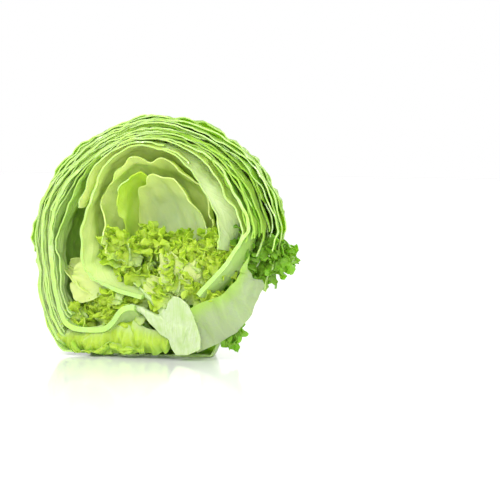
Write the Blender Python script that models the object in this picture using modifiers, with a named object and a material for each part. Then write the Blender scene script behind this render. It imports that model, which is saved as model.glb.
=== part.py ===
"""Half of an iceberg lettuce, cut through its core, standing on its outer leaves with the cut face upright.

The head is a nest of leaves. Each leaf is a grid laid on one of a family of nested shells, wrapped from the
core up and over the head, bisected by the knife's plane and given its thickness with Solidify.
"""

import math
from collections import namedtuple

import bmesh
import bpy
import numpy as np
from mathutils import Matrix, Vector

# Driving dimensions, in metres and degrees
HEAD_WIDTH = 0.158
HEAD_HEIGHT = 0.145
HEAD_DEPTH = 0.076
ROLL = 15.0
CENTRE_HEIGHT = 0.072
REST_BEHIND_CUT = 0.031
REST_BESIDE_CORE = 0.007

# The nest: depth runs from 0 at the outermost leaf to 1 at the heart, and a row gives the shells' half-axes
DEPTHS = (0.0, 0.25, 0.36, 0.46, 0.57, 1.0)
LEFT = (0.5 * HEAD_WIDTH + 0.0035, 0.069, 0.045, 0.035, 0.028, 0.018)
RIGHT = (0.5 * HEAD_WIDTH, 0.060, 0.041, 0.036, 0.031, 0.022)
UP = (0.5 * HEAD_HEIGHT, 0.061, 0.057, 0.050, 0.044, 0.030)
DOWN = (0.080, 0.063, 0.038, 0.034, 0.031, 0.024)
BACK = (HEAD_DEPTH, 0.063, 0.052, 0.045, 0.038, 0.022)

# How much further the outer shells reach at the lower left, where the head is squarest, and how much less the
# inner ones do
CORNER_DEPTHS = (0.0, 0.26, 0.36)
CORNERS = (0.18, 0.12, -0.15)

# The hollow under the head's lower left, where the leaf bases arch up from the core before they turn outward.
# The outermost leaves stay down, the rim's arch all the way, and the cups inside it only a little.
ARCH_HEIGHT = 0.035
ARCH_DEPTHS = (0.03, 0.13, 0.26, 0.36)
ARCH_SHARES = (0.0, 1.0, 1.0, 0.3)
ARCH_CENTRE = -0.027
ARCH_WIDTH = 0.023
ARCH_REACH = 0.019

# The sag of the underside behind the cut, where the head's weight presses its leaves flat
SAG_DEPTH = 0.018
SAG_CENTRE = -0.020
SAG_WIDTH = 0.031
SAG_BEHIND = 0.038
SAG_LENGTH = 0.024

# The rise of the underside to the right of the core
RISE_HEIGHT = 0.017
RISE_START = -0.012
RISE_WIDTH = 0.045

# All three grow with depth below the head's centre, between these heights
LOW_START = -0.008
LOW_FULL = -0.053

LEAF_THICKNESS = 0.0011
CELL_ANGLE = 11
FLOOR_STEP = 0.074

# The flat spot under the weight, and how far the underside lifts past its edge. Deeper leaves leave the floor
# in a rounder curve.
FLAT_SPOT_CENTRE = (-0.0013, -0.004)
FLAT_SPOT_RADIUS = 0.027
FLAT_SPOT_EDGE = 0.004
FLAT_SPOT_LIFT = 0.00025
FLOOR_ROUNDING = 0.045

# A leaf's outline: how wide its base is as a share of its spread, by which share of its length it is
# fully open, how much shorter it is at its sides, and where its ruffled margin and its flared tip begin
BASE_WIDTH = 0.5
OPEN_BY = 0.5
SHORTER_SIDES = 0.12
MARGIN_START = 0.45
TIP_START = 0.82
TIP_HALF_ANGLE = 20
TIP_RUFFLES = 24
TIP_RUFFLE_SHARE = 0.4
RUFFLE_LENGTH = 0.024
BULGE = 0.015
LIP_WIDTH = 0.16
RIB_WIDTH = 0.30
RIB_LENGTH = 0.7

# A trim takes off what lies in front of a slanted plane, given by its place behind the knife's plane and by
# its slopes to the right and down
Trim = namedtuple("Trim", "back right down")
KNIFE = Trim(0, 0, 0)
LEFT_OF_ARCH = (Trim(-0.0135, 0.45, 0), Trim(-0.023, 0, 0.60))
OVER_ARCH = (Trim(-0.010, 0.33, 0), Trim(-0.023, 0, 0.60))

# A leaf's midrib runs from its start to its end angle over the head, and its spread is the angle to each side
Leaf = namedtuple(
    "Leaf", "name azimuth depth start end spread trims rib ruffle seed finish lip flare", defaults=(0, 0)
)
LEAVES = (
    Leaf("wrapper_leaf_back", 100, 0.0, 17, 200, 75, (Trim(-0.008, 0.60, 0),), 0.0011, 0.0003, 11, "outer"),
    Leaf("wrapper_leaf_left", 180, 0.05, 17, 310, 70, LEFT_OF_ARCH, 0.0013, 0.0003, 12, "outer", flare=0.022),
    Leaf("head_leaf_1", 172, 0.10, 18, 300, 70, OVER_ARCH, 0.0015, 0.0003, 13, "outer", flare=0.006),
    Leaf("head_leaf_2", 75, 0.145, 19, 195, 80, (Trim(-0.003, 0.33, 0),), 0.0015, 0.0003, 14, "outer"),
    Leaf("head_leaf_3", 180, 0.19, 18, 283, 70, (Trim(-0.005, 0.18, 0),), 0.0022, 0.0003, 15, "outer"),
    Leaf("head_leaf_4", 0, 0.24, 20, 205, 74, (), 0.0026, 0.0004, 16, "outer", lip=-0.05),
    Leaf("head_leaf_5", 22, 0.325, 82, 152, 34, (), 0.0011, 0.0004, 17, "inner", lip=0.06),
    Leaf("head_leaf_6", 180, 0.305, 120, 205, 36, (), 0.0011, 0.0004, 19, "outer"),
    Leaf("torn_leaf", 12, 0.065, 20, 38, 10, (), 0.0011, 0.0008, 18, "outer"),
    Leaf("cup_leaf_1", 180, 0.36, 23, 232, 82, (Trim(-0.005, 0.20, 0),), 0.0026, 0.0005, 21, "inner"),
    Leaf("cup_leaf_2", 95, 0.46, 28, 172, 78, (Trim(0.008, 0.10, 0.25),), 0.0020, 0.0006, 22, "inner"),
    Leaf("cup_leaf_3", 122, 0.57, 42, 160, 50, (Trim(0.017, 0, 0.32),), 0.0012, 0.0006, 23, "inner"),
    Leaf("cup_leaf_4", 72, 0.68, 42, 158, 44, (Trim(0.012, 0, 0.20),), 0.0012, 0.0005, 24, "inner"),
    Leaf("pocket_leaf", 178, 0.345, 68, 96, 20, (), 0.0012, 0.0006, 25, "inner", lip=0.070),
)

COLOURS = {
    "outer": (0.36, 0.55, 0.12, 1.0),
    "inner": (0.60, 0.72, 0.25, 1.0),
    "heart": (0.55, 0.68, 0.08, 1.0),
    "core": (0.75, 0.82, 0.55, 1.0),
}

# The flaps of leaf that hang under the arch at the lower left, in the row's frame
Flap = namedtuple("Flap", "name middle half_width behind drop lifted_hem")
FLAPS = (
    Flap("flap_front", -0.023, 0.022, 0.0040, 0.001, 0.0),
    Flap("flap_behind", -0.009, 0.012, 0.0085, 0.005, 0.003),
)
FLAP_HEM_HEIGHT = 0.0008
FLAP_SIDE_HEIGHT = 0.010
FLAP_RISE = 0.008
FLAP_PEAK = -0.018
FLAP_PEAK_WIDTH = 0.016
FLAP_FOLD = 0.0016
FLAP_FOLD_LENGTH = 0.0028
FLAP_BELLY = 0.003

# The stem's profile: radius and height from the head's centre
CORE_PROFILE = (
    (0.0, -0.071),
    (0.0150, -0.071),
    (0.0160, -0.064),
    (0.0150, -0.054),
    (0.0125, -0.045),
    (0.0095, -0.037),
    (0.0055, -0.030),
    (0.0, -0.0275),
)
CORE_OFFSET = 0.003

# A tuft: small ruffled leaves that fan out from one growing point, joined in one body
Tuft = namedtuple("Tuft", "name centre radii count first_lean last_lean reach width twist seed")
TUFTS = (
    Tuft("heart", (0.002, 0.0068, -0.022), (0.004, 0.004, 0.004), 15, -62, 70, 0.031, 0.0060, 55, 110),
    Tuft("tuft_left", (-0.015, 0.0065, -0.0335), (0.002, 0.002, 0.002), 4, -80, -58, 0.015, 0.0045, 60, 200),
    Tuft("tuft_right", (0.0385, 0.010, -0.026), (0.002, 0.002, 0.002), 5, -12, 15, 0.021, 0.006, 60, 300),
    Tuft("tuft_pocket", (-0.0615, 0.007, -0.0315), (0.002, 0.002, 0.002), 4, -35, 35, 0.013, 0.005, 60, 400),
)
FRILL_THICKNESS = 0.0010
FRILL_BASE_WIDTH = 0.35
FRILL_RUFFLE = 0.08
FRILL_BEND = 0.2


def wrap_direction(azimuth, along, across):
    """Unit vectors of a leaf's points, by degrees along its midrib from the base and degrees across it."""
    turn, s, q = math.radians(azimuth), np.radians(along), np.radians(across)
    outward = np.array((math.cos(turn), math.sin(turn), 0.0))
    sideways = np.array((-math.sin(turn), math.cos(turn), 0.0))
    upward = np.array((0.0, 0.0, 1.0))
    rib = np.sin(s)[:, None] * outward - np.cos(s)[:, None] * upward
    return np.cos(q)[:, None] * rib + np.sin(q)[:, None] * sideways


def shell_point(direction, depth):
    """The point of the shell at this depth that lies in this direction from the head's centre."""
    left, right, up, down, back = (np.interp(depth, DEPTHS, row) for row in (LEFT, RIGHT, UP, DOWN, BACK))
    x, y, z = direction.T
    shell = np.stack((x * np.where(x > 0, right, left), y * back, z * np.where(z > 0, up, down)), axis=1)
    corner = 2 * np.interp(depth, CORNER_DEPTHS, CORNERS) * np.clip(-x, 0, 1) * np.clip(-z, 0, 1)
    return shell * (1 + corner)[:, None]


def waves(points, seed, length, count=6):
    """Smooth seeded noise from -1 to 1 over points in space, with features of this length."""
    rng = np.random.default_rng(seed)
    total = np.zeros(len(points))
    for _ in range(count):
        way = rng.normal(size=3)
        way *= rng.uniform(0.7, 1.4) * 2 * math.pi / (length * np.linalg.norm(way))
        total += np.sin(points @ way + rng.uniform(0, 2 * math.pi))
    return total / math.sqrt(2 * count)


def settle(points, depth):
    """Arches the underside up at the left, lets it sag behind the cut and lifts its right."""
    x, y, z = points.T
    low = np.clip((LOW_START - z) / (LOW_START - LOW_FULL), 0, 1)
    share = np.interp(depth, ARCH_DEPTHS, ARCH_SHARES)
    arch = share * ARCH_HEIGHT * np.exp(-(((x - ARCH_CENTRE) / ARCH_WIDTH) ** 2) - (y / ARCH_REACH) ** 2)
    sag = SAG_DEPTH * np.exp(-(((x - SAG_CENTRE) / SAG_WIDTH) ** 2) - ((y - SAG_BEHIND) / SAG_LENGTH) ** 2)
    rise = RISE_HEIGHT * (0.5 - 0.5 * np.cos(math.pi * np.clip((x - RISE_START) / RISE_WIDTH, 0, 1)))
    return points + np.stack((0 * x, 0 * x, (arch - sag + rise) * low), axis=1)


def press_on_floor(points, depth, half_thickness):
    """Lifts what would lie under the surface that the head rests on, flattening the leaf there."""
    roll = math.radians(ROLL)
    upright = np.array((math.sin(roll), 0.0, math.cos(roll)))
    rightward = np.array((math.cos(roll), 0.0, -math.sin(roll)))
    height = points @ upright + CENTRE_HEIGHT
    beside = points @ rightward + REST_BESIDE_CORE - FLAT_SPOT_CENTRE[0]
    behind = points[:, 1] - REST_BEHIND_CUT - FLAT_SPOT_CENTRE[1]
    outside = np.clip((np.hypot(beside, behind) - FLAT_SPOT_RADIUS) / FLAT_SPOT_EDGE, 0, 1)
    floor = half_thickness + FLOOR_STEP * depth + FLAT_SPOT_LIFT * outside
    rounding = FLOOR_ROUNDING * depth + 0.000001
    blend = np.clip(rounding - np.abs(height - floor), 0, None) ** 2 / (4 * rounding)
    return points + (np.maximum(floor - height, 0) + blend)[:, None] * upright


def leaf_points(leaf, u, v):
    """Where a leaf's grid lies: u runs across it from -1 to 1, and v from 0 at the core to 1 at its tip."""
    opening = np.clip(v / OPEN_BY, 0, 1)
    width = BASE_WIDTH + (1 - BASE_WIDTH) * opening * opening * (3 - 2 * opening)
    across = leaf.spread * u * width
    along = leaf.start + (leaf.end - leaf.start) * v * (1 - SHORTER_SIDES * np.abs(u) ** 2.5)
    direction = wrap_direction(leaf.azimuth, along, across)
    near_cut = np.exp(-((direction[:, 1] / LIP_WIDTH) ** 2))
    lip_fade = 1 if leaf.lip > 0 else np.clip(-2 * direction[:, 2], 0, 1)
    smooth = shell_point(direction, leaf.depth - leaf.lip * near_cut * lip_fade)
    margin = np.clip(np.maximum(np.abs(u), v) - MARGIN_START, 0, 1) / (1 - MARGIN_START)
    tip = np.clip((v - TIP_START) / (1 - TIP_START), 0, 1) ** 2
    tip_ruffle = TIP_RUFFLE_SHARE * np.sin(np.radians(TIP_RUFFLES * across))
    flare = leaf.flare * tip * (1 + tip_ruffle) * np.clip(1.3 - np.abs(across) / TIP_HALF_ANGLE, 0, 1)
    lift = leaf.ruffle * margin * waves(smooth, leaf.seed, RUFFLE_LENGTH) + flare
    bulged = smooth * (1 + BULGE * waves(direction, 5, 1.5))[:, None] + direction * lift[:, None]
    return press_on_floor(settle(bulged, leaf.depth), leaf.depth, 0.5 * leaf_thickness(leaf, u, v))


def leaf_thickness(leaf, u, v):
    """How thick a leaf is: its rib is thickest at the base and narrows along the leaf."""
    rib = np.exp(-((u / (RIB_WIDTH - 0.2 * v)) ** 2)) * np.clip(1 - v / RIB_LENGTH, 0, 1)
    return LEAF_THICKNESS + (leaf.rib - LEAF_THICKNESS) * rib


def finish_material(name):
    """A plain leaf material in this finish's colour."""
    material = bpy.data.materials.get(name) or bpy.data.materials.new(name)
    material.use_nodes = True
    surface = material.node_tree.nodes["Principled BSDF"]
    surface.inputs["Base Color"].default_value = COLOURS[name]
    surface.inputs["Roughness"].default_value = 0.4
    return material


def place(obj, collection, head, finish):
    """Puts a finished piece in the head's collection, under its empty, with its material."""
    collection.objects.link(obj)
    obj.parent = head
    obj.data.materials.append(finish_material(finish))
    obj.data.shade_smooth()


def make_leaf(leaf, collection, head):
    """One leaf as a closed thin solid, cut off where the knife went through it."""
    mesh = bpy.data.meshes.new(leaf.name)
    grid = bmesh.new()
    across = round(2 * leaf.spread / CELL_ANGLE)
    along = round((leaf.end - leaf.start) / CELL_ANGLE)
    bmesh.ops.create_grid(grid, x_segments=across, y_segments=along, size=1)
    flat = np.array([vertex.co for vertex in grid.verts])
    u, v = flat[:, 0], 0.5 * (flat[:, 1] + 1)
    weights = grid.verts.layers.deform.verify()
    for vertex, point, thickness in zip(grid.verts, leaf_points(leaf, u, v), leaf_thickness(leaf, u, v)):
        vertex.co = Vector(point)
        vertex[weights][0] = thickness / leaf.rib
    for trim in (KNIFE,) + leaf.trims:
        everything = grid.verts[:] + grid.edges[:] + grid.faces[:]
        plane = {"plane_co": (0, trim.back, 0), "plane_no": (-trim.right, 1, trim.down)}
        bmesh.ops.bisect_plane(grid, geom=everything, clear_inner=True, **plane)
    bmesh.ops.remove_doubles(grid, verts=grid.verts[:], dist=0.0006)
    bmesh.ops.triangulate(grid, faces=grid.faces[:])
    bmesh.ops.recalc_face_normals(grid, faces=grid.faces[:])
    grid.to_mesh(mesh)
    grid.free()
    obj = bpy.data.objects.new(leaf.name, mesh)
    obj.vertex_groups.new(name="thickness")
    wall = obj.modifiers.new("wall", "SOLIDIFY")
    wall.thickness = leaf.rib
    wall.offset = 0
    wall.vertex_group = "thickness"
    place(obj, collection, head, leaf.finish)


def flap_points(flap, u, v):
    """Where a hanging flap's grid lies, in the row's frame: u across it, and v from its top to its hem."""
    x = flap.middle + flap.half_width * u
    top = FLAP_SIDE_HEIGHT + FLAP_RISE * np.exp(-(((x - FLAP_PEAK) / FLAP_PEAK_WIDTH) ** 2)) - flap.drop
    hem = FLAP_HEM_HEIGHT + flap.lifted_hem * (0.5 + 0.5 * np.sin(math.pi * u)) ** 2
    inside = np.minimum(1, 4 * (1 - np.abs(u)) + 0.3)
    folds = FLAP_FOLD * (0.3 + 0.7 * v) * np.sin(x / FLAP_FOLD_LENGTH + 2 * v) * inside
    y = flap.behind - REST_BEHIND_CUT + folds - FLAP_BELLY * np.sin(math.pi * v)
    return np.stack((x, y, top + (hem - top) * v), axis=1)


def make_flap(flap, collection):
    """A fold of the outer leaves that hangs under the arch to the surface, as a closed thin solid."""
    mesh = bpy.data.meshes.new(flap.name)
    grid = bmesh.new()
    bmesh.ops.create_grid(grid, x_segments=18, y_segments=5, size=1)
    flat = np.array([vertex.co for vertex in grid.verts])
    for vertex, point in zip(grid.verts, flap_points(flap, flat[:, 0], 0.5 * (flat[:, 1] + 1))):
        vertex.co = Vector(point)
    bmesh.ops.triangulate(grid, faces=grid.faces[:])
    grid.to_mesh(mesh)
    grid.free()
    obj = bpy.data.objects.new(flap.name, mesh)
    wall = obj.modifiers.new("wall", "SOLIDIFY")
    wall.thickness = LEAF_THICKNESS
    wall.offset = 0
    place(obj, collection, None, "outer")


def make_core(collection, cutters, head):
    """The stem inside the head: a turned solid, halved by the knife."""
    mesh = bpy.data.meshes.new("core")
    profile = bmesh.new()
    corners = [profile.verts.new((radius, 0, height)) for radius, height in reversed(CORE_PROFILE)]
    for first, second in zip(corners, corners[1:]):
        profile.edges.new((first, second))
    profile.to_mesh(mesh)
    profile.free()
    core = bpy.data.objects.new("core", mesh)
    core.location = (CORE_OFFSET, 0, 0)
    turn = core.modifiers.new("turn", "SCREW")
    turn.axis = "Z"
    turn.steps = turn.render_steps = 20
    turn.use_merge_vertices = True
    turn.merge_threshold = 0.00005
    halve = core.modifiers.new("halve", "BOOLEAN")
    halve.operation = "DIFFERENCE"
    halve.object = make_knife(cutters, head)
    place(core, collection, head, "core")


def make_knife(cutters, head):
    """The block that takes away the other half."""
    block = bmesh.new()
    bmesh.ops.create_cube(block, size=0.2)
    bmesh.ops.translate(block, vec=(0, -0.1, 0), verts=block.verts[:])
    block_mesh = bpy.data.meshes.new("knife")
    block.to_mesh(block_mesh)
    block.free()
    knife = bpy.data.objects.new("knife", block_mesh)
    knife.parent = head
    knife.hide_render = True
    knife.display_type = "WIRE"
    cutters.objects.link(knife)
    return knife


def frill_points(tuft, u, v, rng):
    """A small ruffled leaf's grid, upright from the origin: u runs across it, and v along it."""
    reach, width = tuft.reach * rng.uniform(0.75, 1.05), tuft.width * rng.uniform(0.85, 1.1)
    opening = np.sin(np.clip(v / 0.8, 0, 1) * math.pi / 2)
    wide = width * u * (FRILL_BASE_WIDTH + (1 - FRILL_BASE_WIDTH) * opening)
    phase = rng.uniform(0, 2 * math.pi)
    side_ruffle = np.abs(u) ** 1.5 * np.sin(4 * math.pi * v + phase + 1.5 * np.sign(u))
    tip_ruffle = v**3 * np.sin(3 * math.pi * u + phase)
    out = reach * (FRILL_BEND * v * v + FRILL_RUFFLE * v * (side_ruffle + tip_ruffle))
    return np.stack((wide, out, reach * v), axis=1)


def make_frill(tuft, index, collection, head):
    """One of a tuft's leaves, as a closed thin solid that leans out from the growing point."""
    rng = np.random.default_rng(tuft.seed + index)
    share = (index + 0.5) / tuft.count
    lean = tuft.first_lean + (tuft.last_lean - tuft.first_lean) * share
    mesh = bpy.data.meshes.new("frill")
    grid = bmesh.new()
    bmesh.ops.create_grid(grid, x_segments=4, y_segments=6, size=1)
    flat = np.array([vertex.co for vertex in grid.verts])
    for vertex, point in zip(grid.verts, frill_points(tuft, flat[:, 0], 0.5 * (flat[:, 1] + 1), rng)):
        vertex.co = Vector(point)
    twist = Matrix.Rotation(math.radians(rng.uniform(tuft.twist - 20, tuft.twist + 20)), 4, "Z")
    tilt = Matrix.Rotation(math.radians(rng.uniform(-6, 8)), 4, "X")
    turn = Matrix.Rotation(math.radians(lean), 4, "Y")
    stand = Matrix.Translation(tuft.centre) @ turn @ tilt @ twist
    bmesh.ops.transform(grid, matrix=stand, verts=grid.verts[:])
    bmesh.ops.triangulate(grid, faces=grid.faces[:])
    grid.to_mesh(mesh)
    grid.free()
    obj = bpy.data.objects.new(f"frill_{index}", mesh)
    wall = obj.modifiers.new("wall", "SOLIDIFY")
    wall.thickness = FRILL_THICKNESS
    wall.offset = 0
    obj.parent = head
    collection.objects.link(obj)


def keep_largest_body(mesh):
    """Drops loose scraps and fills sealed hollows: what stays is the body with the most corners."""
    solid = bmesh.new()
    solid.from_mesh(mesh)
    bodies, seen = [], set()
    for start in solid.verts:
        if start in seen:
            continue
        body, front = set(), [start]
        while front:
            vertex = front.pop()
            if vertex not in body:
                body.add(vertex)
                front.extend(edge.other_vert(vertex) for edge in vertex.link_edges)
        seen |= body
        bodies.append(body)
    largest = max(bodies, key=len)
    bmesh.ops.delete(solid, geom=[vertex for vertex in solid.verts if vertex not in largest], context="VERTS")
    solid.to_mesh(mesh)
    solid.free()


def make_tuft(tuft, collection, head):
    """A growing point and the small ruffled leaves round it, joined in one body."""
    frills = bpy.data.collections.new("frills")
    bpy.context.scene.collection.children.link(frills)
    for index in range(tuft.count):
        make_frill(tuft, index, frills, head)
    bud = bmesh.new()
    bmesh.ops.create_uvsphere(bud, u_segments=10, v_segments=6, radius=1)
    bmesh.ops.scale(bud, vec=tuft.radii, verts=bud.verts[:])
    bmesh.ops.translate(bud, vec=tuft.centre, verts=bud.verts[:])
    mesh = bpy.data.meshes.new(tuft.name)
    bud.to_mesh(mesh)
    bud.free()
    obj = bpy.data.objects.new(tuft.name, mesh)
    join = obj.modifiers.new("join", "BOOLEAN")
    join.operation = "UNION"
    join.operand_type = "COLLECTION"
    join.collection = frills
    join.solver = "MANIFOLD"
    place(obj, collection, head, "heart")
    bpy.context.view_layer.update()
    joined = bpy.data.meshes.new_from_object(obj.evaluated_get(bpy.context.evaluated_depsgraph_get()))
    keep_largest_body(joined)
    obj.modifiers.clear()
    obj.data = joined
    for frill in list(frills.objects):
        bpy.data.objects.remove(frill)
    bpy.data.collections.remove(frills)


def main():
    for obj in list(bpy.data.objects):
        bpy.data.objects.remove(obj)
    collection = bpy.data.collections.new("iceberg_lettuce_half")
    cutters = bpy.data.collections.new("cutters")
    for group in (collection, cutters):
        bpy.context.scene.collection.children.link(group)
    head = bpy.data.objects.new("head", None)
    head.rotation_euler = (0, -math.radians(ROLL), 0)
    head.location = (REST_BESIDE_CORE, -REST_BEHIND_CUT, CENTRE_HEIGHT)
    collection.objects.link(head)
    for leaf in LEAVES:
        make_leaf(leaf, collection, head)
    make_core(collection, cutters, head)
    for flap in FLAPS:
        make_flap(flap, collection)
    for tuft in TUFTS:
        make_tuft(tuft, collection, head)


main()
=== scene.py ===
"""The looks of a halved iceberg lettuce: fine leaves, heart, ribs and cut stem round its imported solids.

Each leaf is a grid laid on one of a family of nested shells, with veins and ruffles as relief, torn by the
knife and given its thickness. Lengths are in metres and angles in degrees unless a name says otherwise.
"""

import math
from collections import namedtuple

import bpy
import numpy as np
from mathutils import Matrix, Vector


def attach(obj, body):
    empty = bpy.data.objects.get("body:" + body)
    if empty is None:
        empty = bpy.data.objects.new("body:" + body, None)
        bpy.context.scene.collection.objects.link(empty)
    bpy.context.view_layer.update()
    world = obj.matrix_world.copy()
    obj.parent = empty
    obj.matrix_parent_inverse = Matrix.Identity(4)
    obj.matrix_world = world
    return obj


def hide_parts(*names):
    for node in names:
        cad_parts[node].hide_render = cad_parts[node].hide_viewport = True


bl_info = {
    "name": "Halved Iceberg Lettuce",
    "version": (1, 0, 0),
    "blender": (4, 5, 0),
    "location": "View3D > Sidebar > Lettuce",
    "description": "Builds the leaves, heart, stem and stage of half an iceberg lettuce",
    "category": "Add Mesh",
}

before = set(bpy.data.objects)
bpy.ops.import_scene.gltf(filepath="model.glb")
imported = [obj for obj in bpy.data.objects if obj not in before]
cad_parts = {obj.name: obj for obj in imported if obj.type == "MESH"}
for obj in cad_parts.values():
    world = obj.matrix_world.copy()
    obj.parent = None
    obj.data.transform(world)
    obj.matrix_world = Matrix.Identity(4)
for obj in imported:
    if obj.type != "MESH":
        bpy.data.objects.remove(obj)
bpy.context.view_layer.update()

# The head's own frame: its core leans by this roll, and the cut face stands in front of where the half rests
HEAD_WIDTH = 0.158
HEAD_HEIGHT = 0.145
HEAD_DEPTH = 0.076
ROLL = math.radians(15)
UPRIGHT = np.array((math.sin(ROLL), 0.0, math.cos(ROLL)))
CENTRE_HEIGHT = 0.072
REST_BEHIND_CUT = 0.031
REST_BESIDE_CORE = 0.007

# The nest: depth runs from 0 at the outermost leaf to 1 at the heart, and a row gives the shells' half-axes
DEPTHS = (0.0, 0.25, 0.36, 0.46, 0.57, 1.0)
LEFT = (0.5 * HEAD_WIDTH + 0.0035, 0.069, 0.045, 0.035, 0.028, 0.018)
RIGHT = (0.5 * HEAD_WIDTH, 0.060, 0.041, 0.036, 0.031, 0.022)
UP = (0.5 * HEAD_HEIGHT, 0.061, 0.057, 0.050, 0.044, 0.030)
DOWN = (0.080, 0.063, 0.038, 0.034, 0.031, 0.024)
BACK = (HEAD_DEPTH, 0.063, 0.052, 0.045, 0.038, 0.022)
CORNER_DEPTHS = (0.0, 0.26, 0.36)
CORNERS = (0.18, 0.12, -0.15)

# The hollow under the lower left, the sag behind the cut and the rise at the right of the underside
ARCH_HEIGHT = 0.035
ARCH_DEPTHS = (0.03, 0.13, 0.26, 0.36)
ARCH_SHARES = (0.0, 1.0, 1.0, 0.3)
ARCH_CENTRE = -0.027
ARCH_WIDTH = 0.023
ARCH_REACH = 0.019
SAG_DEPTH = 0.018
SAG_CENTRE = -0.020
SAG_WIDTH = 0.031
SAG_BEHIND = 0.038
SAG_LENGTH = 0.024
RISE_HEIGHT = 0.017
RISE_START = -0.012
RISE_WIDTH = 0.045
LOW_START = -0.008
LOW_FULL = -0.053

# A leaf's outline and relief
BASE_WIDTH = 0.5
OPEN_BY = 0.5
SHORTER_SIDES = 0.12
MARGIN_START = 0.45
TIP_START = 0.82
TIP_HALF_ANGLE = 20
TIP_RUFFLES = 24
TIP_CRINKLES = 61
RAGGED_TIP = 0.035
RAGGED_SIDE = 0.03
RUFFLE_LENGTH = 0.017
PLEATS = 13
PLEAT_SHARE = 0.8
BULGE = 0.015
LIP_WIDTH = 0.16
RIB_WIDTH = 0.30
RIB_NARROWING = 0.2
RIB_LENGTH = 0.7

# How leaves wander off their shells, in shares of the depth, and the relief, which is stronger outside
WANDER = 0.016
OWN_WANDER = 0.011
OUTERMOST = 0.02
LEAST_DEPTH = 0.024
OUTER_RELIEF = 1.6
OUTER_REACH = 0.06
VEIN_HEIGHT = 0.0006
BLISTER = 0.00045
BLISTER_LENGTH = 0.008
DENT_HEIGHT = 0.0007
DENT_LENGTH = 0.022

# The grid's cells, in degrees, and the cut: how far behind the knife's plane it is, how torn, and how far
# behind that plane an edge looks cut
CELL_ANGLE = 1.7
CUT_BACK = 0.0011
KNIFE_TEAR = 0.0009
MARGIN_TEAR = 0.0022
EDGE_REACH = 0.0045
ALL_EDGES = 1.0
SLANTED = 0.3

# The flat spot under the weight, and how far the underside lifts past its edge
FLOOR_STEP = 0.074
FLAT_SPOT_CENTRE = (-0.0013, -0.004)
FLAT_SPOT_RADIUS = 0.027
FLAT_SPOT_EDGE = 0.004
FLAT_SPOT_LIFT = 0.00025
FLOOR_ROUNDING = 0.045

# A trim takes off what lies in front of a slanted plane, given by its place behind the knife's plane and by
# its slopes to the right and down
Trim = namedtuple("Trim", "back right down", defaults=(0,))
LEFT_OF_ARCH = (Trim(-0.0135, 0.45), Trim(-0.023, 0, 0.60))
OVER_ARCH = (Trim(-0.010, 0.33), Trim(-0.023, 0, 0.60))

# A leaf's midrib runs from its start to its end angle over the head, and its spread is the angle to each side
Leaf = namedtuple(
    "Leaf",
    "name node azimuth depth start end spread trims rib ruffle seed finish "
    "lip flare thin rounding lip_width low_lip cut_back",
    defaults=(0, 0, 0.0008, SHORTER_SIDES, LIP_WIDTH, False, CUT_BACK),
)
BACK_TRIM = (Trim(-0.008, 0.60),)
RIM_LEAVES = (
    Leaf(
        "back_wrapper", "wrapper_leaf_back", 100, 0.0, 17, 200, 75, BACK_TRIM,
        0.0016, 0.0007, 11, "wrapper",
    ),
    Leaf(
        "left_wrapper", "wrapper_leaf_left", 180, 0.05, 17, 310, 70, LEFT_OF_ARCH,
        0.0020, 0.0009, 12, "wrapper", flare=0.006,
    ),
    Leaf(
        "rim_leaf_1", "head_leaf_1", 172, 0.10, 18, 300, 70, OVER_ARCH,
        0.0022, 0.0010, 13, "outside", flare=0.009,
    ),
    Leaf(
        "rim_leaf_2", "head_leaf_2", 75, 0.145, 19, 195, 80, (Trim(-0.003, 0.33),),
        0.0018, 0.0010, 14, "outside",
    ),
    Leaf(
        "rim_leaf_3", "head_leaf_3", 180, 0.19, 18, 283, 70, (Trim(-0.005, 0.18),),
        0.0036, 0.0010, 15, "outside",
    ),
    Leaf(
        "rim_leaf_4", "head_leaf_4", 0, 0.24, 20, 205, 74, (),
        0.0030, 0.0008, 16, "outside", lip=-0.05, low_lip=True,
    ),
)
OUTER_LEAVES = (
    Leaf(
        "outer_leaf_left", None, 120, -0.016, 68, 132, 44, (),
        0.0012, 0.0024, 51, "wrapper", thin=0.0006, rounding=0.4,
    ),
    Leaf(
        "outer_leaf_right", None, 62, -0.014, 70, 150, 40, (Trim(0.001, 0.66),),
        0.0012, 0.0024, 52, "wrapper", thin=0.0006, rounding=0.4,
    ),
)

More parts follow.
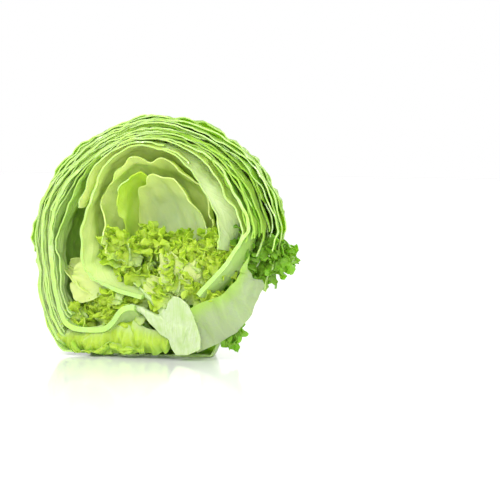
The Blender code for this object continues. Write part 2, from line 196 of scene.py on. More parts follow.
# Further leaves of the rim: azimuth, depth, start, end, spread and trims, then rib, ruffle, seed and finish
LAYER_ROWS = (
    (172, 0.027, 50, 300, 66, (Trim(-0.0105, 0.53),), 0.0009, 0.0012, 31, "outside"),
    (20, 0.075, 60, 250, 70, (Trim(-0.012, 0.40),), 0.0009, 0.0012, 32, "outside"),
    (178, 0.124, 60, 290, 66, (Trim(-0.007, 0.33),), 0.0009, 0.0012, 33, "outside"),
    (10, 0.168, 60, 240, 66, (Trim(-0.004, 0.26),), 0.0009, 0.0012, 34, "outside"),
    (5, 0.270, 66, 200, 44, (), 0.0009, 0.0012, 36, "inside"),
)
LAYERS = tuple(Leaf(f"rim_layer_{index + 1}", None, *row) for index, row in enumerate(LAYER_ROWS))
CUPS = (
    Leaf(
        "wet_leaf", "head_leaf_5", 22, 0.290, 60, 158, 38, (),
        0.0010, 0.0010, 17, "wet", lip=-0.060, rounding=0.3, lip_width=0.22,
    ),
    Leaf(
        "hollow_leaf", "head_leaf_6", 180, 0.305, 205, 122, 36, (),
        0.0010, 0.0014, 19, "inside", rounding=0.3,
    ),
    Leaf(
        "cup_1", "cup_leaf_1", 180, 0.36, 23, 232, 82, (Trim(-0.005, 0.20),),
        0.0026, 0.0016, 21, "inside", lip=0.022,
    ),
    Leaf(
        "cup_2", "cup_leaf_2", 95, 0.46, 28, 172, 78, (Trim(0.008, 0.10, 0.25),),
        0.0018, 0.0018, 22, "inside", lip=0.02, rounding=0.25,
    ),
    Leaf(
        "cup_3", "cup_leaf_3", 130, 0.57, 42, 162, 56, (Trim(0.017, 0, 0.32),),
        0.0012, 0.0012, 23, "petal", rounding=0.3,
    ),
    Leaf(
        "cup_4", "cup_leaf_4", 80, 0.66, 42, 160, 52, (Trim(0.010, 0, 0.20),),
        0.0012, 0.0010, 24, "pale_inside", rounding=0.35,
    ),
)

# Leaves between those of the rim, cut further back, which fill the gaps with green: a row of depths, and for
# some depths the slope of their trim
FILL_DEPTHS = (0.039, 0.063, 0.088, 0.112, 0.134, 0.157, 0.180, 0.204, 0.229, 0.254)
FILL_REACH = (62, 288)
FILL_SPREAD = 17
FILL_CUT_BACK = 0.0021
FILL_SLOPES = ((0.0, 0.05, 0.10, 0.19, 0.24), (0.60, 0.45, 0.33, 0.18, 0.0))
FILL_START = -0.006

# The flaps of leaf that hang under the arch at the lower left, in the row's frame
Flap = namedtuple("Flap", "name node middle half_width behind drop lifted_hem seed")
FLAPS = (
    Flap("front_flap", "flap_front", -0.023, 0.022, 0.0042, -0.002, 0.0, 1),
    Flap("behind_flap", "flap_behind", -0.006, 0.014, 0.0085, 0.001, 0.003, 2),
    Flap("side_flap", None, -0.044, 0.015, 0.0055, -0.006, 0.001, 3),
    Flap("small_flap", None, -0.012, 0.011, 0.0030, 0.009, 0.003, 4),
    Flap("low_flap", None, -0.036, 0.012, 0.0030, 0.008, 0.000, 5),
    Flap("stem_flap", None, 0.002, 0.012, 0.0060, -0.006, 0.001, 6),
)
FLAP_HEM_HEIGHT = 0.0008
FLAP_SIDE_HEIGHT = 0.010
FLAP_RISE = 0.008
FLAP_PEAK = -0.018
FLAP_PEAK_WIDTH = 0.016
FLAP_FOLD = 0.0034
FLAP_BULGE = 0.003
FLAP_CRINKLE = 0.0020
FLAP_FINE_CRINKLE = 0.0008
FLAP_HEM_WAVE = 0.0014
FLAP_GRID = (110, 30)
FLAP_THICKNESS = 0.0006

# The cut stem: half-width and height from the head's centre
CORE_PROFILE = (
    (0.0, -0.0350),
    (0.0042, -0.0375),
    (0.0072, -0.042),
    (0.0094, -0.049),
    (0.0106, -0.056),
    (0.0100, -0.0635),
    (0.0080, -0.0700),
    (0.0, -0.0714),
)
CORE_OFFSET = 0.003
CORE_DEPTH_SHARE = 1.15
CORE_GRID = (128, 90)
STEM_VOXEL = 0.00062
STEM_SMOOTHINGS = 12
STEM_FRONT = 0.0008
FRONT_ROUNDNESS = 0.25
RIDGE_HEIGHT = 0.00025
RIDGE_ORIGIN = -0.095

# Ribs that leave the stem in the cut: points to the right of the head's centre and above it, with half-widths
Rib = namedtuple("Rib", "points half_widths behind")
RIBS = (
    Rib(
        ((0.004, -0.060), (-0.008, -0.0525), (-0.0150, -0.0450), (-0.0215, -0.0375), (-0.030, -0.0345)),
        (0.0060, 0.0048, 0.0034, 0.0024, 0.0016),
        0.0015,
    ),
    Rib(
        ((0.000, -0.052), (-0.008, -0.042), (-0.0145, -0.032), (-0.024, -0.021)),
        (0.0044, 0.0026, 0.0016, 0.0009),
        0.003,
    ),
)
RIB_GRID = (24, 60)
RIB_BEND = 0.004
RIB_FLATNESS = 0.8
RIB_WOBBLE = 0.0007
RIB_WAVES = ((0, 0.010), (5, 0.012), (9, 0.010))
SMOOTHING = 51

# The broad pale leaf base at the right of the stem: its lower and upper edges in the head's frame
BASE_LOWER = ((0.006, -0.0712), (0.020, -0.0690), (0.034, -0.0650), (0.046, -0.057), (0.055, -0.044))
BASE_UPPER = ((0.007, -0.046), (0.019, -0.043), (0.032, -0.042), (0.043, -0.036), (0.052, -0.026))
BASE_GRID = (90, 40)
BASE_THICKNESS = 0.0010
BASE_BEHIND = 0.0012
BASE_LEAST_BEHIND = 0.0006
BASE_LEAN = 0.006
BASE_BEND = 0.002
BASE_TEAR = 0.0030
BASE_TORN_FROM = 0.7

# Ruffled leaves: they stand in a fan round an origin, between two leans from the upright. Their distances
# from it are the least one, then the greatest ones from the first lean to the last, and each leaf stands
# between two distances behind the cut.
Frills = namedtuple(
    "Frills", "name node finish origin leans distances behind tips count reach width ruffle slot seed"
)
FRILLS = (
    Frills(
        "heart_leaves", "heart", "heart", (0.002, -0.052), (-78, 56), (0.007, 0.036, 0.055, 0.039, 0.037),
        (0.0002, 0.010), (-8, 38), 76, 0.0190, 0.0096, 0.0033, "heart_leaf", 110,
    ),
    Frills(
        "heart_lobes", None, "inside", (0.003, -0.048), (-30, 40), (0.005, 0.018),
        (0.0008, 0.006), (-6, 10), 9, 0.021, 0.0075, 0.0014, "heart_leaf", 150,
    ),
    Frills(
        "stem_frills", None, "heart", (0.003, -0.046), (-62, 84), (0.002, 0.013),
        (-0.0004, 0.003), (-4, 24), 19, 0.015, 0.0072, 0.0026, "heart_leaf", 170,
    ),
    Frills(
        "left_frills", "tuft_left", "heart", (-0.004, -0.040), (-98, -58), (0.008, 0.032),
        (0.0008, 0.009), (0, 50), 18, 0.015, 0.0070, 0.0028, "heart_leaf", 200,
    ),
    Frills(
        "right_frills", "tuft_right", "heart", (0.034, -0.040), (-35, 26), (0.004, 0.021),
        (0.0006, 0.010), (0, 45), 18, 0.016, 0.0070, 0.0028, "heart_leaf", 300,
    ),
    Frills(
        "pocket_frills", "tuft_pocket", "heart", (-0.056, -0.046), (-60, 50), (0.002, 0.018),
        (0.0010, 0.009), (0, 50), 18, 0.015, 0.0074, 0.0030, "heart_leaf", 400,
    ),
    Frills(
        "end_frills", None, "margin", (0.050, 0.014), (154, 194), (0.004, 0.036),
        (0.006, 0.024), (0, 40), 20, 0.023, 0.0084, 0.0038, "outer_leaf", 500,
    ),
    Frills(
        "pocket_lobe", "pocket_leaf", "inside", (-0.037, -0.022), (-66, -46), (0.003, 0.006),
        (0.003, 0.006), (0, 12), 3, 0.028, 0.0125, 0.0008, "inner_leaf", 600,
    ),
    Frills(
        "torn_base", "torn_leaf", "margin", (0.034, -0.053), (184, 202), (0.001, 0.003),
        (0.0055, 0.009), (0, 12), 4, 0.018, 0.0070, 0.0026, "outer_leaf", 700,
    ),
)
FRILL_GRID = (20, 26)
FRILL_THICKNESS = 0.0005
CRUMPLE = 0.38
CRUMPLE_LENGTH = 0.0055
LEAN_SPREAD = 0.35
TWIST_SPREAD = 0.9

# How far each next leaf of a fan moves on, in shares of the leans and of the distances
LEAN_STEP = 0.6180
DISTANCE_STEP = 0.7549

# What shines through the leaves
FRESH = (0.58, 0.84, 0.08)
BRIGHT = (0.68, 0.90, 0.10)
DARK = (0.36, 0.70, 0.04)
MILKY = (0.80, 0.94, 0.32)
WATERY = (0.80, 0.90, 0.50)
DULL = (0.50, 0.64, 0.28)
LIGHT_THROUGH = 0.42

# How far behind the cut a leaf's painted shade starts and is full, darkening it as shade would in the
# recesses between leaves, and how deep its bumps are
PAINTED_SHADE_BEHIND = (0.001, 0.026)
BUMP_DEPTH = 0.0005

# A leaf's finish names the colours of its blade, base and tip. It gives its roughness, the shares that its
# veins and its painted shade take, and how far up the leaf its base's colour reaches.
Finish = namedtuple(
    "Finish", "name blade base tip light gloss veins reach deepening", defaults=(0.32, 0.6, 0.55, 0.5)
)
FINISHES = (
    Finish("outside", "outside", "vein", "margin", FRESH, veins=0.4),
    Finish("wrapper", "wrapper", "core", "outside", FRESH, 0.3, 0.8, 0.5, 0.0),
    Finish("fill", "outside", "vein", "outside", FRESH, veins=0.3, deepening=0.3),
    Finish("margin", "margin", "outside", "margin", DARK, veins=0.22, reach=0.4),
    Finish("flap", "heart", "vein", "outside", FRESH, veins=0.3, reach=0.35),
    Finish("inside", "inside", "vein", "inside", MILKY, veins=0.4, deepening=0.12),
    Finish("pale_inside", "pale", "vein", "inside", MILKY, veins=0.5, deepening=0.0),
    Finish("petal", "petal", "inside", "heart", BRIGHT, veins=0.35, deepening=0.1),
    Finish("heart", "heart", "vein", "heart", BRIGHT, 0.22, 0.15, 0.6, 0.6),
    Finish("wet", "pale", "pale", "vein", WATERY, 0.12, 0.3, deepening=0.0),
    Finish("base", "core", "core", "outside", DULL, 0.24, 0.25, 0.5, 0.2),
)

# The photograph's view: how far round from the cut face and how high, its scale, and where the stem stands
VIEW_AZIMUTH = 22.0
VIEW_HEIGHT = 4.0
PIXELS_PER_METRE = 1676.0
PICTURE_SIZE = 500
STEM_COLUMN = 155.0
FLOOR_ROW = 360.0
CAMERA_DISTANCE = 1.2
SENSOR_WIDTH = 36.0

# Each light's name, place, size and power, and the point they all face
LIGHTS = (
    ("key", (-0.35, -0.8, 0.75), 0.35, 6.0),
    ("back", (0.35, 0.7, 0.6), 0.6, 6.0),
    ("side", (0.8, -0.5, 0.35), 0.5, 2.0),
    ("front", (0.2, -1.3, 0.35), 0.9, 7.0),
)
LIT_POINT = (0, 0, 0.07)
FLOOR_SIZE = 6


def length_field(name, description, default):
    return bpy.props.FloatProperty(name=name, description=description, default=default, unit="LENGTH")


def colour_field(name, description, default):
    return bpy.props.FloatVectorProperty(name=name, description=description, subtype="COLOR", default=default)


class LettuceSizes(bpy.types.PropertyGroup):
    """Sizes that change how the leaves look."""

    wander: bpy.props.FloatProperty(
        name="Wander", description="How far leaves wander, in shares of the nest's depth", default=WANDER
    )
    blister: length_field("Blister", "Height of the blisters between a leaf's veins", BLISTER)
    vein_height: length_field("Vein height", "How far the main veins stand out of a leaf", VEIN_HEIGHT)


class LettuceColours(bpy.types.PropertyGroup):
    """Colours of the leaves, their cut edges and the stem."""

    outside: colour_field("Outer leaf", "Blade of the outer leaves", (0.42, 0.67, 0.09))
    wrapper: colour_field("Wrapper leaf", "Blade of the outermost leaves", (0.33, 0.54, 0.09))
    # Painted shade: the colour that leaves darken to far behind the cut, standing in for the shade in the
    # recesses between them
    deep: colour_field("Painted recess shade", "Leaves far behind the cut", (0.22, 0.46, 0.01))
    margin: colour_field("Leaf margin", "Ends of the outer leaves", (0.23, 0.49, 0.03))
    inside: colour_field("Inner leaf", "Blade of the cupped leaves", (0.78, 0.88, 0.31))
    pale: colour_field("Pale leaf", "Blade of the wet leaf and the innermost cup", (0.72, 0.84, 0.48))
    petal: colour_field("Yellow leaf", "Blade of the small yellow cup", (0.64, 0.80, 0.15))
    heart: colour_field("Heart leaf", "Blade of the heart's leaves", (0.57, 0.76, 0.06))
    vein: colour_field("Vein", "Veins and leaf bases", (0.66, 0.82, 0.36))
    cut: colour_field("Cut edge", "Edges that the knife left", (0.36, 0.56, 0.15))
    core: colour_field("Stem", "Cut face of the stem", (0.46, 0.54, 0.33))
    streak: colour_field("Stem streak", "Streaks that fan up the stem", (0.32, 0.47, 0.13))


class Wire:
    """A number in a material's node tree, so that shader maths reads as plain arithmetic."""

    def __init__(self, shader, socket):
        self.shader = shader
        self.socket = socket

    def math(self, operation, *others):
        return self.shader.node("ShaderNodeMath", {"operation": operation}, (self,) + others)

    def __add__(self, other):
        return self.math("ADD", other)

    def __sub__(self, other):
        return self.math("SUBTRACT", other)

    def __rsub__(self, other):
        return self.shader.node("ShaderNodeMath", {"operation": "SUBTRACT"}, (other, self))

    def __mul__(self, other):
        return self.math("MULTIPLY", other)

    def __truediv__(self, other):
        return self.math("DIVIDE", other)

    def __pow__(self, other):
        return self.math("POWER", other)

    def __neg__(self):
        return self.math("MULTIPLY", -1.0)

    __radd__ = __add__
    __rmul__ = __mul__


class Shader:
    """A material's node tree, built by one method that adds any node."""

    def __init__(self, name):
        self.material = bpy.data.materials.new(name)
        self.material.use_nodes = True
        self.tree = self.material.node_tree
        self.tree.nodes.clear()

    def node(self, kind, settings=None, inputs=(), output=0):
        """Adds a node, sets it and links or sets its inputs, and returns one of its outputs."""
        added = self.tree.nodes.new(kind)
        for name, value in (settings or {}).items():
            setattr(added, name, value)
        pairs = inputs.items() if isinstance(inputs, dict) else enumerate(inputs)
        for key, value in pairs:
            if value is None:
                continue
            if isinstance(value, Wire):
                self.tree.links.new(value.socket, added.inputs[key])
            else:
                added.inputs[key].default_value = value
        return Wire(self, added.outputs[output])

    def mix(self, share, first, second):
        """One colour passing into another."""
        settings = {"data_type": "RGBA"}
        return self.node("ShaderNodeMix", settings, {0: share, 6: paint(first), 7: paint(second)}, output=2)

    def noise(self, place, scale, detail=3.0, roughness=0.55):
        inputs = {"Vector": place, "Scale": scale, "Detail": detail, "Roughness": roughness}
        return self.node("ShaderNodeTexNoise", None, inputs)

    def axis(self, place, name):
        return self.node("ShaderNodeSeparateXYZ", None, (place,), output=name)

    def smooth(self, value, low, high, start=0.0, end=1.0):
        """Steps smoothly from start to end as the value goes from low to high."""
        settings = {"interpolation_type": "SMOOTHSTEP"}
        return self.node("ShaderNodeMapRange", settings, (value, low, high, start, end))


def paint(colour):
    """A colour as a socket takes it."""
    return colour if isinstance(colour, Wire) else (*colour, 1.0)


def sine(value):
    return value.math("SINE") if isinstance(value, Wire) else np.sin(value)


def off_line(value):
    """How far a value is from the nearest whole number, which is where a vein runs."""
    if isinstance(value, Wire):
        return (value - value.math("ROUND")).math("ABSOLUTE")
    return np.abs(value - np.round(value))


def bell(value):
    squared = value * value
    return (-squared).math("EXPONENT") if isinstance(value, Wire) else np.exp(-squared)


def vein_lines(u, v):
    """Main veins that fan out from a leaf's base, and side veins that leave them at a slant: 1 on a vein."""
    fan = u * 3.5 + sine(v * 4.0 + u * 3.0) * 0.22
    beside = off_line(fan)
    fade = (1.08 - v) ** 0.7
    main = bell(beside / 0.085) * fade
    side = off_line(v * 11.0 - beside * 4.2 + sine(u * 9.0 + v * 5.0) * 0.35)
    branches = bell(side / 0.13) * (1.0 - bell(beside / 0.12)) * 0.55
    return main, branches


def wrap_direction(azimuth, along, across):
    """Unit vectors to a leaf's points, by degrees along its midrib from the base over the top and across."""
    turn, s, q = math.radians(azimuth), np.radians(along), np.radians(across)
    outward = np.array((math.cos(turn), math.sin(turn), 0.0))
    sideways = np.array((-math.sin(turn), math.cos(turn), 0.0))
    upward = np.array((0.0, 0.0, 1.0))
    rib = np.sin(s)[:, None] * outward - np.cos(s)[:, None] * upward
    return np.cos(q)[:, None] * rib + np.sin(q)[:, None] * sideways


def shell_point(direction, depth):
    """The points of the shells at these depths that lie in these directions from the head's centre."""
    left, right, up, down, back = (np.interp(depth, DEPTHS, row) for row in (LEFT, RIGHT, UP, DOWN, BACK))
    x, y, z = direction.T
    shell = np.stack((x * np.where(x > 0, right, left), y * back, z * np.where(z > 0, up, down)), axis=1)
    corner = 2 * np.interp(depth, CORNER_DEPTHS, CORNERS) * np.clip(-x, 0, 1) * np.clip(-z, 0, 1)
    return shell * (1 + corner)[:, None]


def waves(points, seed, length, count=6):
    """Smooth seeded noise from -1 to 1 over points in space, with features of this length."""
    rng = np.random.default_rng(seed)
    total = np.zeros(len(points))
    for _ in range(count):
        way = rng.normal(size=3)
        way *= rng.uniform(0.7, 1.4) * 2 * math.pi / (length * np.linalg.norm(way))
        total += np.sin(points @ way + rng.uniform(0, 2 * math.pi))
    return total / math.sqrt(2 * count)


def settle(points, depth):
    """Arches the underside up at the left, lets it sag behind the cut and lifts its right."""
    x, y, z = points.T
    low = np.clip((LOW_START - z) / (LOW_START - LOW_FULL), 0, 1)
    share = np.interp(depth, ARCH_DEPTHS, ARCH_SHARES)
    arch = share * ARCH_HEIGHT * np.exp(-(((x - ARCH_CENTRE) / ARCH_WIDTH) ** 2) - (y / ARCH_REACH) ** 2)
    sag = SAG_DEPTH * np.exp(-(((x - SAG_CENTRE) / SAG_WIDTH) ** 2) - ((y - SAG_BEHIND) / SAG_LENGTH) ** 2)
    rise = RISE_HEIGHT * (0.5 - 0.5 * np.cos(math.pi * np.clip((x - RISE_START) / RISE_WIDTH, 0, 1)))
    return points + np.stack((0 * x, 0 * x, (arch - sag + rise) * low), axis=1)


def press_on_floor(points, depth, half_thickness):
    """Lifts what would lie under the surface that the head rests on, flattening the leaf there."""
    x, y, height = row_points(points).T
    outside = np.hypot(x - FLAT_SPOT_CENTRE[0], y - FLAT_SPOT_CENTRE[1]) - FLAT_SPOT_RADIUS
    outside = np.clip(outside / FLAT_SPOT_EDGE, 0, 1)
    floor = half_thickness + FLOOR_STEP * depth + FLAT_SPOT_LIFT * outside
    rounding = FLOOR_ROUNDING * depth + 0.000001
    blend = np.clip(rounding - np.abs(height - floor), 0, None) ** 2 / (4 * rounding)
    return points + (np.maximum(floor - height, 0) + blend)[:, None] * UPRIGHT


def leaf_thickness(leaf, u, v):
    """How thick a leaf is: its rib is thickest at the base and narrows along the leaf."""
    rib = np.exp(-((u / (RIB_WIDTH - RIB_NARROWING * v)) ** 2)) * np.clip(1 - v / RIB_LENGTH, 0, 1)
    return leaf.thin + (leaf.rib - leaf.thin) * rib


def leaf_directions(leaf, u, v):
    """Which way a leaf's points lie from the head's centre, and how many degrees across the leaf they are."""
    opening = np.clip(v / OPEN_BY, 0, 1)
    width = BASE_WIDTH + (1 - BASE_WIDTH) * opening * opening * (3 - 2 * opening)
    edge = np.stack((u * 3, v * 5, 0 * u + leaf.seed), axis=1)
    ragged = 1 + RAGGED_TIP * waves(edge, leaf.seed + 50, 1.1) * v**3
    across = leaf.spread * u * width * (1 + RAGGED_SIDE * waves(edge, leaf.seed + 60, 0.9) * np.abs(u))
    along = leaf.start + (leaf.end - leaf.start) * v * (1 - leaf.rounding * np.abs(u) ** 2.5) * ragged
    return wrap_direction(leaf.azimuth, along, across), across


def leaf_depths(leaf, direction, upper, wander):
    """How deep a leaf's points lie: it wanders with its neighbours and alone, and bends at the cut."""
    near_cut = np.exp(-((direction[:, 1] / leaf.lip_width) ** 2))
    lip_fade = np.clip(-2 * direction[:, 2], 0, 1) if leaf.low_lip else 1
    depth = leaf.depth - leaf.lip * near_cut * lip_fade
    place = np.concatenate((direction * 6.0, depth[:, None] * 30.0), axis=1)
    own = waves(direction, leaf.seed + 20, 0.8) + 0.4 * waves(direction, leaf.seed + 21, 0.22)
    loose = min(1, 0.15 + leaf.depth * 12)
    wandering = (wander * nest_waves(place) + OWN_WANDER * own) * upper * loose
    return np.maximum(depth + wandering, leaf.depth if leaf.depth < OUTERMOST else LEAST_DEPTH)


def leaf_lift(leaf, u, v, across, upper, smooth, sizes):
    """How far a leaf's relief stands off its shell."""
    margin = np.clip(np.maximum(np.abs(u), v) - MARGIN_START, 0, 1) / (1 - MARGIN_START)
    ruffle = leaf.ruffle * margin * waves(smooth, leaf.seed, RUFFLE_LENGTH)
    tip = np.clip((v - TIP_START) / (1 - TIP_START), 0, 1) ** 2
    crinkles = 0.35 * np.sin(np.radians(TIP_CRINKLES * across) + 9 * v)
    tip_ruffle = 0.5 * np.sin(np.radians(TIP_RUFFLES * across)) + crinkles
    flare = leaf.flare * tip * (1 + tip_ruffle) * np.clip(1.4 - np.abs(across) / TIP_HALF_ANGLE, 0, 1)
    main, branches = vein_lines(u, v)
    veins = sizes.vein_height * (main + 0.5 * branches)
    blister = sizes.blister * waves(smooth, leaf.seed + 7, BLISTER_LENGTH) * (1 - main)
    pleats = PLEAT_SHARE * leaf.ruffle * np.sin(PLEATS * u + 2.5 * np.sin(3 * v + leaf.seed))
    relief = 1 + OUTER_RELIEF * np.clip(1 - leaf.depth / OUTER_REACH, 0, 1)
    dents = DENT_HEIGHT * (relief - 1) * waves(smooth, 8, DENT_LENGTH)
    return ruffle + flare + ((veins + blister) * relief + dents + pleats * np.clip(2 * v, 0, 1)) * upper


def leaf_points(leaf, u, v, sizes):
    """Where a leaf's grid lies: u runs across it from -1 to 1, and v from 0 at the core to 1 at its tip."""
    direction, across = leaf_directions(leaf, u, v)
    upper = np.clip(1.2 + direction[:, 2] * 1.6, 0, 1)
    smooth = shell_point(direction, leaf_depths(leaf, direction, upper, sizes.wander))
    lift = leaf_lift(leaf, u, v, across, upper, smooth, sizes)
    bulged = smooth * (1 + BULGE * waves(direction, 5, 1.5))[:, None] + direction * lift[:, None]
    return press_on_floor(settle(bulged, leaf.depth), leaf.depth, 0.5 * leaf_thickness(leaf, u, v))


def nest_waves(place):
    """Seeded noise over direction and depth together, so that neighbouring leaves wander alike."""
    rng = np.random.default_rng(77)
    total = np.zeros(len(place))
    for _ in range(7):
        way = rng.normal(size=4) * np.array((0.55, 0.55, 0.55, 0.35))
        total += np.sin(place @ way + rng.uniform(0, 2 * math.pi))
    return total / 2.6


def row_points(points):
    """Points of the head's own frame, in the row's frame."""
    x, y, z = points.T
    sine_of_roll, _, cosine = UPRIGHT
    turned = np.stack((cosine * x - sine_of_roll * z, y, sine_of_roll * x + cosine * z), axis=1)
    return turned + np.array((REST_BESIDE_CORE, -REST_BEHIND_CUT, CENTRE_HEIGHT))


def mesh_points(obj):
    """An object's vertices as an array."""
    flat = np.empty(len(obj.data.vertices) * 3)
    obj.data.vertices.foreach_get("co", flat)
    return flat.reshape(-1, 3)


def move_mesh(obj, points):
    obj.data.vertices.foreach_set("co", np.ascontiguousarray(points, dtype=np.float32).ravel())
    obj.data.update()


def add_grid(name, across, along):
    """A grid primitive with a UV map, and its points' places: u across it from -1 to 1, and v along it."""
    bpy.ops.object.select_all(action="DESELECT")
    bpy.ops.mesh.primitive_grid_add(x_subdivisions=across, y_subdivisions=along, size=2, calc_uvs=True)
    obj = bpy.context.object
    obj.name = obj.data.name = name
    flat = mesh_points(obj)
    return obj, flat[:, 0], 0.5 * (flat[:, 1] + 1)


def add_materials(obj, *names):
    for name in names:
        obj.data.materials.append(bpy.data.materials[name])


def apply_modifier(obj, kind, **settings):
    """Adds a modifier, sets it and applies it."""
    modifier = obj.modifiers.new(kind.lower(), kind)
    for name, value in settings.items():
        setattr(modifier, name, value)
    bpy.context.view_layer.objects.active = obj
    bpy.ops.object.modifier_apply(modifier=modifier.name)


def edit_all(*steps):
    """Runs steps in edit mode, each on all of the active mesh."""
    bpy.ops.object.mode_set(mode="EDIT")
    for step, settings in steps:
        bpy.ops.mesh.select_all(action="SELECT")
        step(**settings)
    bpy.ops.object.mode_set(mode="OBJECT")


def tear_noise(points, amount, seed):
    """How far a torn edge strays from a clean cut, read from where a point stands in the cut's plane."""
    flat = points * np.array((1.0, 0.0, 1.0))
    fine = 0.35 * waves(flat, seed + 1, 0.008) + 0.18 * waves(flat, seed + 2, 0.003)
    return amount * (waves(flat, seed, 0.026) + fine)


def trim_leaf(obj, trim, tear, seed):
    """Cuts off what lies in front of a trim's plane, along a slightly torn line."""
    points = mesh_points(obj)
    points[:, 1] += tear_noise(points, tear, seed)
    move_mesh(obj, points)
    normal = Vector((-trim.right, 1, trim.down)).normalized()
    cut = {"plane_co": (0, trim.back, 0), "plane_no": normal, "clear_inner": True}
    edit_all((bpy.ops.mesh.bisect, cut))
    points = mesh_points(obj)
    points[:, 1] -= tear_noise(points, tear, seed)
    move_mesh(obj, points)


def cut_reach(leaf):
    """How far behind the knife's plane edges look cut: not at all on a filling leaf, all on a slanted cut."""
    if leaf.finish == "fill":
        return 0.0
    slanted = any(trim.right > SLANTED for trim in leaf.trims)
    return ALL_EDGES if slanted else EDGE_REACH


def colour_edges(obj, reach):
    """Keeps the cut's finish on edges as far back as this, and gives the others the leaf's own."""
    points = mesh_points(obj)
    for face in obj.data.polygons:
        if face.material_index == 1 and points[list(face.vertices), 1].mean() >= reach:
            face.material_index = 0


def clean_mesh(distance):
    """Merges the active object's doubles and turns its faces alike."""
    edit_all(
        (bpy.ops.mesh.remove_doubles, {"threshold": distance}),
        (bpy.ops.mesh.normals_make_consistent, {"inside": False}),
    )


def thicken(obj, thickness, group=""):
    """Gives a sheet its thickness, with the second material on its edges."""
    apply_modifier(obj, "SOLIDIFY", thickness=thickness, offset=0, material_offset_rim=1, vertex_group=group)


def finish_piece(obj, node=None):
    """Shades a piece and tells the frame what it rides on and replaces."""
    obj.data.shade_smooth()
    obj.data.set_sharp_from_angle(angle=math.radians(50))
    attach(obj, "root")
    if node:
        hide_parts(node)


def make_leaf(leaf, sizes):
    """One leaf: a grid shaped on its shell, trimmed, torn by the knife and thickened."""
    across = round(2 * leaf.spread / CELL_ANGLE)
    along = round(abs(leaf.end - leaf.start) / CELL_ANGLE)
    obj, u, v = add_grid(leaf.name, across, along)
    thick = leaf_thickness(leaf, u, v) / leaf.rib
    group = obj.vertex_groups.new(name="thickness")
    for index, weight in enumerate(thick):
        group.add((index,), float(weight), "REPLACE")
    move_mesh(obj, leaf_points(leaf, u, v, sizes))
    trim_leaf(obj, Trim(leaf.cut_back, 0), KNIFE_TEAR, leaf.seed)
    for trim in leaf.trims:
        trim_leaf(obj, trim, MARGIN_TEAR, leaf.seed + 5)
    clean_mesh(0.0001)
    add_materials(obj, leaf.finish, "cut_edge")
    thicken(obj, leaf.rib, "thickness")
    colour_edges(obj, cut_reach(leaf))
    move_mesh(obj, row_points(mesh_points(obj)))
    slot = "outer_leaf" if leaf.finish in ("outside", "wrapper") else "inner_leaf"
    finish_piece(obj, leaf.node)


def filling_leaf(index, depth):
    """A narrow leaf behind the cut, between two leaves of the rim."""
    trim = Trim(FILL_START, np.interp(depth, *FILL_SLOPES), 0)
    return Leaf(
        f"filling_leaf_{index + 1}", None, 180, depth, *FILL_REACH, FILL_SPREAD, (trim,),
        0.0009, 0.0010, 60 + index, "fill", thin=0.0009, cut_back=FILL_CUT_BACK,
    )


def curve_points(corners, share):
    """Points along a smooth line through corners in the cut's plane, by shares of its length."""
    steps = np.linspace(0, 1, len(corners))
    rows = np.array(corners)
    return np.stack([np.interp(share, steps, rows[:, axis]) for axis in (0, 1)], axis=1)


def make_base_leaf():
    """The broad pale base of an outer leaf, which turns its face to the cut at the right of the stem."""
    obj, u, t = add_grid("base_leaf", *BASE_GRID)
    v = 0.5 * (u + 1)
    lower, upper = curve_points(BASE_LOWER, v), curve_points(BASE_UPPER, v)
    place = lower + (upper - lower) * t[:, None]
    chart = np.stack((place[:, 0], 0 * v, place[:, 1]), axis=1)
    ragged = BASE_TEAR * waves(chart, 91, 0.009) * np.clip(v - BASE_TORN_FROM, 0, 1) / (1 - BASE_TORN_FROM)
    folds = 0.0010 * waves(chart, 92, 0.012) + 0.0018 * waves(chart, 93, 0.006) * np.clip(v - 0.6, 0, 1)
    y = BASE_BEHIND + BASE_LEAN * (1 - t) ** 2 + BASE_BEND * v * v + folds + 0.5 * ragged
    place = place + ragged[:, None] * 0.7
    y = np.maximum(y, BASE_LEAST_BEHIND)
    move_mesh(obj, row_points(np.stack((place[:, 0], y, place[:, 1]), axis=1)))
    add_materials(obj, "base")
    thicken(obj, BASE_THICKNESS)
    finish_piece(obj)


def flap_points(flap, u, v):
    """Where a hanging flap's grid lies: u runs across it, and v from its top down to its hem."""
    x = flap.middle + flap.half_width * u
    top = FLAP_SIDE_HEIGHT + FLAP_RISE * np.exp(-(((x - FLAP_PEAK) / FLAP_PEAK_WIDTH) ** 2)) - flap.drop
    line = np.stack((x, 0 * x, 0 * x), axis=1)
    top = top + 0.0012 * waves(line, flap.seed, 0.009)
    hem = FLAP_HEM_HEIGHT + flap.lifted_hem * (0.5 + 0.5 * np.sin(math.pi * u)) ** 2
    hem = hem + 0.006 * np.abs(u) ** 6 + FLAP_HEM_WAVE * (1 + waves(line, flap.seed + 5, 0.006))
    chart = np.stack((x, 0 * x, 0.006 * v), axis=1)
    folds = FLAP_FOLD * (0.25 + 0.75 * v) * waves(chart, flap.seed + 10, 0.013)
    crinkle = FLAP_CRINKLE * waves(chart, flap.seed + 20, 0.0055)
    fine = FLAP_FINE_CRINKLE * waves(chart, flap.seed + 30, 0.0026)
    y = flap.behind - REST_BEHIND_CUT + folds + (crinkle + fine) * v - FLAP_BULGE * np.sin(math.pi * v)
    side = 0.0016 * v * waves(chart, flap.seed + 40, 0.006)
    return np.stack((x + side, y, top + (hem - top) * v), axis=1)


def make_flap(flap):
    """A fold of the outer leaves that hangs under the arch."""
    obj, u, v = add_grid(flap.name, *FLAP_GRID)
    move_mesh(obj, flap_points(flap, u, v))
    add_materials(obj, "flap")
    thicken(obj, FLAP_THICKNESS)
    finish_piece(obj, flap.node)


